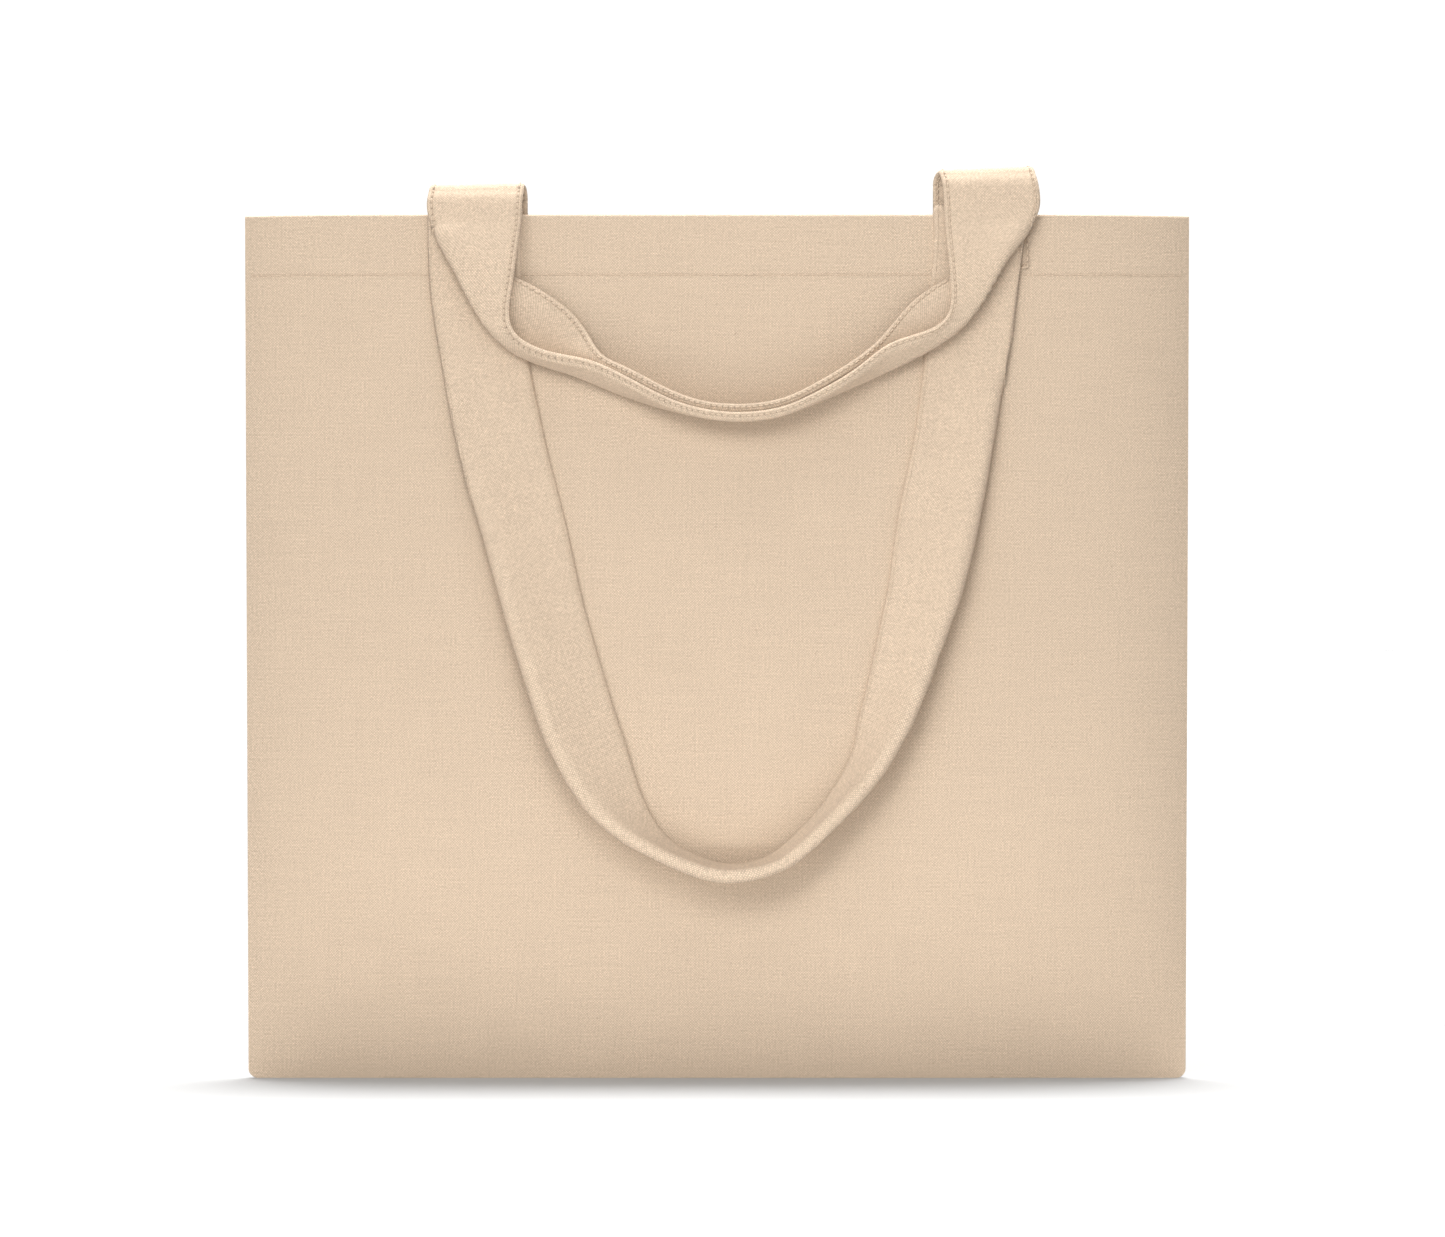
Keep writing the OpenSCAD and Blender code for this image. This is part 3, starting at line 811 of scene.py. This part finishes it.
def hold_at_seam(part):
    """Cloth of the front panel, with its place baked into its mesh."""
    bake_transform(part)


def add_panels():
    """The front panel, in two halves that meet at its middle, and the back one."""
    halves = (front_panel("front_panel_left", -1.0, 0.0), front_panel("front_panel_right", 0.0, 1.0))
    for half, (_, side, middle_x) in zip(halves, HALVES):
        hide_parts("front_panel")
        hold_at_seam(half)
    back = back_panel()
    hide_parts("back_panel")
    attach(back, "back_body")


def add_seams():
    """The three seam allowances and the overlock on their raw edges."""
    seams = [
        ("left", "left_side_seam", (-SEAM_X, SEAM_LOW), (-SEAM_X, HEM_Z - 1), (1, 0)),
        ("right", "right_side_seam", (SEAM_X, SEAM_LOW), (SEAM_X, HEM_Z - 1), (-1, 0)),
        ("bottom", "bottom_seam", (-BOTTOM_END, BOTTOM_Z), (BOTTOM_END, BOTTOM_Z), (0, 1)),
    ]
    for side, node, start, end, inner in seams:
        strip, grid = seam_strip(f"{side}_allowance", start, end, inner)
        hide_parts(node)
        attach(strip, "back_body")
        loops = overlock(f"{side}_overlock_thread", grid)
        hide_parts(f"{side}_seam_overlock")
        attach(loops, "back_body")


def add_front_hem_stitching():
    """One row in two halves, on the outer face of the panel and inside on its hem."""
    for name, side, middle_x in HALVES:
        low, high = (-0.985, -0.002) if side < 0 else (0.002, 0.985)
        count = int((high - low) * HALF_W / STEP)
        share = np.linspace(low, high, count)
        z = np.full(count, HEM_ROW)
        x = share * half_at(z)
        outer = place(x, front_depth(share, z), z)
        inner = place(x, FRONT_HEM_IN - (BOW - swell(share, z)), z + 1.6)
        toward = np.tile([0.0, -1.0, 0.0], (count, 1))
        rows = stitches(f"front_hem_stitching_{name}", [(outer, toward), (inner, -toward)], 0.22)
        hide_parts("front_hem_stitching")
        hold_at_seam(rows)


def add_back_hem_stitching():
    """One row, on the outer face of the back panel and inside on its hem."""
    count = int(2 * (HALF_W - 3) / STEP)
    x = np.linspace(-HALF_W + 3, HALF_W - 3, count)
    z = np.full(count, HEM_ROW)
    toward = np.tile([0.0, 1.0, 0.0], (count, 1))
    outer = place(x, back_depth(x, z), z)
    inner = place(x, np.full(count, 2 * CLOTH), z + 2.2)
    rows = stitches("back_hem_rows", [(outer, toward), (inner, -toward)])
    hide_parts("back_hem_stitching")
    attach(rows, "back_body")


def add_front_handle():
    """The front handle and the stitching along its edges."""
    band, grid = front_handle()
    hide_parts("front_handle", "front_handle_left_end", "front_handle_right_end")
    rows = stitches("front_handle_stitching", edge_rows(grid, 0.3), 0.2)
    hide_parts("front_handle_edge_stitching")
    for part in (band, rows):
        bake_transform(part)


def add_back_handle():
    """The part of the back handle outside the mouth, and the stitching along its edges."""
    band, grid = back_loop()
    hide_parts("back_handle")
    rows = stitches("back_handle_stitching", edge_rows(grid))
    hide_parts("back_handle_edge_stitching")
    for part in (band, rows):
        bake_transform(part)


def add_tucks():
    """The back handle's ends and risers, which fold into the mouth."""
    for side, x, top, radius in (("left", LEFT_X + LEFT_SKEW, LEFT_FOLD_Z, FOLD2_R),
                                 ("right", RIGHT_X + RIGHT_SKEW, RIGHT_FOLD_Z, FOLD2_R_RIGHT)):
        tuck, grid = riser(f"back_handle_{side}_tuck", x, top, radius)
        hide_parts(f"back_handle_{side}_riser", f"back_handle_{side}_end")
        deep = BACK_Y - grid[:, len(ACROSS) // 2, 1] / MM
        rear_end, fore_start = int(np.argmax(deep > TUCK_REAR)), int(np.argmax(deep > TUCK_FORE))
        runs = edge_rows(grid, end=rear_end) + edge_rows(grid, start=fore_start + fore_start % 2)
        rows = stitches(f"back_handle_{side}_tuck_stitching", runs)
        for part in (tuck, rows):
            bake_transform(part)


def add_tacks():
    """Boxes and crosses, which show on both faces of the cloth that they go through."""
    middle = HEIGHT - HEM / 2
    for side, x in (("left", LEFT_X), ("right", RIGHT_X)):
        runs = tack(x, TAB_D - STRAP_T / 2, middle, -1) + tack(x, FRONT_OUT + 0.2, middle, 1)
        front = stitches(f"front_handle_{side}_tack_stitches", runs)
        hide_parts(f"front_handle_{side}_tack")
        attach(front, "front_body")
        runs = tack(x, 2 * CLOTH + STRAP_T, middle, 1) + tack(x, 0.12, middle, -1)
        back = stitches(f"back_handle_{side}_tack_stitches", runs)
        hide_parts(f"back_handle_{side}_tack")
        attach(back, "back_body")


# ---------------------------------------------------------------- floor and light
def floor_material():
    """Plain, matt and pale in strong light."""
    material = bpy.data.materials.new("floor")
    Nodes(material).surface({"Base Color": (0.39, 0.39, 0.39, 1), "Roughness": 1.0,
                             "Specular IOR Level": 0.0})
    return material


def make_stage():
    """A wide, plain floor."""
    reach = 40.0
    corners = [(-reach, -reach, 0), (reach, -reach, 0), (reach, reach, 0), (-reach, reach, 0)]
    floor = piece("floor", corners, [(0, 1, 2, 3)], floor_material())


def softbox(name, power, size, at, aim):
    """An oblong lamp at a place, turned along aim."""
    data = bpy.data.lights.new(name, "AREA")
    data.energy = power
    data.shape = "RECTANGLE"
    data.size, data.size_y = size
    lamp = bpy.data.objects.new(name, data)
    lamp.location = at
    lamp.rotation_euler = Vector(aim).to_track_quat("-Z", "Y").to_euler()
    lamp.visible_camera = False
    bpy.context.collection.objects.link(lamp)


def sun(name, strength, size, aim):
    """A soft distant lamp whose light travels along aim."""
    data = bpy.data.lights.new(name, "SUN")
    data.energy = strength * math.pi
    data.angle = math.radians(size)
    lamp = bpy.data.objects.new(name, data)
    lamp.rotation_euler = Vector(aim).to_track_quat("-Z", "Y").to_euler()
    bpy.context.collection.objects.link(lamp)


WORLD_LIGHT = 0.21              # the strength of the white studio, as light and as it is seen
WORLD_SEEN = 1.05


def make_world():
    """A white studio all round, whose light is weaker than it looks."""
    world = bpy.data.worlds.new("studio")
    bpy.context.scene.world = world
    n = Nodes(world)
    path = n.add("ShaderNodeLightPath")
    light, seen = (n.add("ShaderNodeBackground", {"Color": (1, 1, 1, 1), "Strength": strength})
                   for strength in (WORLD_LIGHT, WORLD_SEEN))
    mix = n.add("ShaderNodeMixShader", {
        0: path.outputs["Is Camera Ray"], 1: light.outputs[0], 2: seen.outputs[0]})
    n.add("ShaderNodeOutputWorld", {0: mix.outputs[0]})


make_camera()
add_panels()
add_seams()
add_front_hem_stitching()
add_back_hem_stitching()
add_front_handle()
add_back_handle()
add_tucks()
add_tacks()

make_stage()
make_world()
softbox("key", 1.8, (0.26, 0.26), (-0.03, -0.62, 0.54), (0.03, 0.62, -0.28))
softbox("low", 0.30, (0.5, 0.02), (0.0, -0.20, 0.012), (0.0, 1.0, 0.0))
sun("top", 0.26, 30, (0.0, 0.35, -0.94))
sun("side", 0.33, 30, (0.46, 0.78, -0.42))
sun("rear", 2.20, 28, (-0.03, -0.235, -0.97))
bpy.context.scene.view_settings.view_transform = "Standard"
